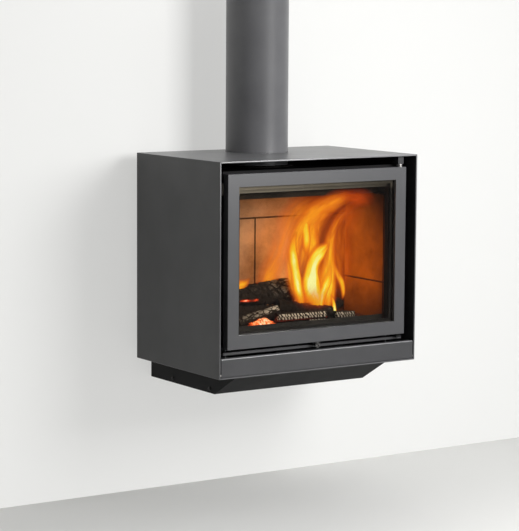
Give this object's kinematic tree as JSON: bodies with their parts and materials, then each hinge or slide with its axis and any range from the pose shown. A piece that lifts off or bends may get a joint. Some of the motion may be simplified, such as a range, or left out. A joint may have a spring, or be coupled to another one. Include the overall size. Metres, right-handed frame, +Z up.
{
  "type": "wall-hung wood stove",
  "caption": "Wall-hung wood stove: box casing, lined firebox with a glazed side-hung door, drop-down flap over the air slide, console beneath and flue pipe on top.",
  "frame": {"origin": "on the wall plane at the back of the wall plate, centred across the stove and level with the underside of the casing", "axes": "+Z up, -Y out of the wall towards the room (the door side), +X to the right as seen from the room"},
  "size_m": [0.68, 0.502, 1.174],
  "materials": {
    "casing_paint": "matt textured stove enamel, dark grey",
    "door_paint": "satin stove enamel, mid grey",
    "fire_steel": "black heat-resistant enamel",
    "cast_iron": "as cast, blackened",
    "zinc_steel": "zinc plated sheet",
    "bright_steel": "bare turned steel",
    "fireclay": "fired clay, dusty",
    "vermiculite": "pressed board, sooted",
    "ceramic_glass": "polished glass ceramic",
    "glass_rope": "braided glass fibre rope",
    "charred_wood": "charred bark and heartwood",
    "embers": "glowing charcoal"
  },
  "bodies": {
    "root": {"wall_plate": "zinc_steel", "hanging_hook": "zinc_steel", "support_arm_left": "zinc_steel", "support_arm_right": "zinc_steel", "console_tray": "casing_paint", "casing_left": "casing_paint", "casing_right": "casing_paint", "casing_top": "casing_paint", "casing_bottom": "casing_paint", "casing_back": "casing_paint", "firebox_body": "fire_steel", "firebox_front": "fire_steel", "firebox_plinth": "zinc_steel", "flue_collar": "cast_iron", "flue_pipe": "casing_paint", "back_brick_left": "fireclay", "back_brick_right": "fireclay", "back_brick_top": "fireclay", "side_brick_left_lower": "fireclay", "side_brick_left_upper": "fireclay", "side_brick_right_lower": "fireclay", "side_brick_right_upper": "fireclay", "hearth_brick_left": "fireclay", "hearth_brick_right": "fireclay", "baffle_lower": "vermiculite", "baffle_upper": "fire_steel", "fire_grate": "cast_iron", "ash_box": "fire_steel", "ash_pan": "zinc_steel", "air_inlet_pipe": "zinc_steel", "log_retainer": "cast_iron", "ember_bed": "embers", "log_back": "charred_wood", "log_leaning": "charred_wood", "log_front": "charred_wood", "log_side": "charred_wood", "hinge_bracket_top": "door_paint", "hinge_bracket_bottom": "door_paint", "hinge_pin_top": "bright_steel", "hinge_pin_bottom": "bright_steel", "sill_rail": "door_paint", "latch_keeper": "fire_steel", "flap_pin_left": "bright_steel", "flap_pin_right": "bright_steel", "wall_nut_1": "zinc_steel", "wall_nut_2": "zinc_steel", "wall_nut_3": "zinc_steel", "wall_nut_4": "zinc_steel", "console_screw_left_rear": "fire_steel", "console_screw_left_front": "fire_steel", "console_screw_right_rear": "fire_steel", "console_screw_right_front": "fire_steel"},
    "door": {"door_frame": "door_paint", "door_glass": "ceramic_glass", "glass_retainer": "fire_steel", "rope_seal": "glass_rope", "latch_bracket": "fire_steel"},
    "latch": {"latch_lever": "bright_steel"},
    "flap": {"flap_panel": "door_paint"},
    "air_control": {"air_slide": "zinc_steel"}
  },
  "joints": [
    {"name": "door_swing", "type": "hinge", "parent": "root", "child": "door", "pos_m": [0.292, -0.48, 0.32], "axis": [0, 0, 1], "range_deg": [0, 100]},
    {"name": "latch_turn", "type": "hinge", "parent": "door", "child": "latch", "pos_m": [-0.004, -0.483, 0.0725], "axis": [0, 1, 0], "range_deg": [0, 40]},
    {"name": "flap_drop", "type": "hinge", "parent": "root", "child": "flap", "pos_m": [0, -0.498, 0.011], "axis": [1, 0, 0], "range_deg": [0, 85]},
    {"name": "air_slide_travel", "type": "slide", "parent": "root", "child": "air_control", "axis": [1, 0, 0], "range_m": [0, 0.028]}
  ]
}
